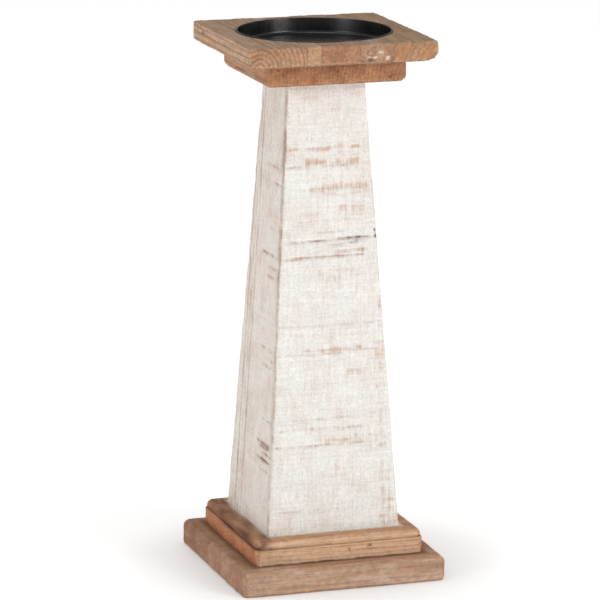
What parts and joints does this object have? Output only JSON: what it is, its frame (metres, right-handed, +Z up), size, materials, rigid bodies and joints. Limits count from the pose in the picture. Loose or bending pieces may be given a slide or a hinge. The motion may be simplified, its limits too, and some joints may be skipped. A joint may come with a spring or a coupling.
{
  "type": "pillar candlestick",
  "caption": "Square wooden pillar candlestick: stepped square base, tapered whitewashed column, stepped square top with an inset round steel pan for a pillar candle.",
  "frame": {"origin": "centre of the base plate's underside, on the table", "axes": "+Z up along the column, -Y towards the front face, +X to the right of the front face"},
  "size_m": [0.14, 0.14, 0.3586],
  "materials": {
    "base_wood": "worn brown stain, rubbed paler along the edges",
    "plinth_wood": "worn reddish brown stain with streaks and knots",
    "whitewashed_wood": "dry off-white paint over rough-sawn wood, rubbed through in bands",
    "cap_wood": "worn red-brown stain",
    "top_wood": "worn tan stain, end grain at the front",
    "black_steel": "satin black enamel",
    "screw_steel": "zinc plated"
  },
  "bodies": {
    "root": {"base_plate": "base_wood", "plinth_plate": "plinth_wood", "column_core": "whitewashed_wood", "column_back_board": "whitewashed_wood", "column_right_board": "whitewashed_wood", "cap_plate": "cap_wood", "top_stave_1": "top_wood", "top_stave_2": "top_wood", "top_stave_3": "top_wood", "top_stave_4": "top_wood", "top_stave_5": "top_wood", "pan": "black_steel", "base_screw_1": "screw_steel", "base_screw_2": "screw_steel", "base_screw_3": "screw_steel", "base_screw_4": "screw_steel", "top_screw_1": "screw_steel", "top_screw_2": "screw_steel", "top_screw_3": "screw_steel", "top_screw_4": "screw_steel", "pan_screw": "screw_steel"}
  },
  "joints": []
}
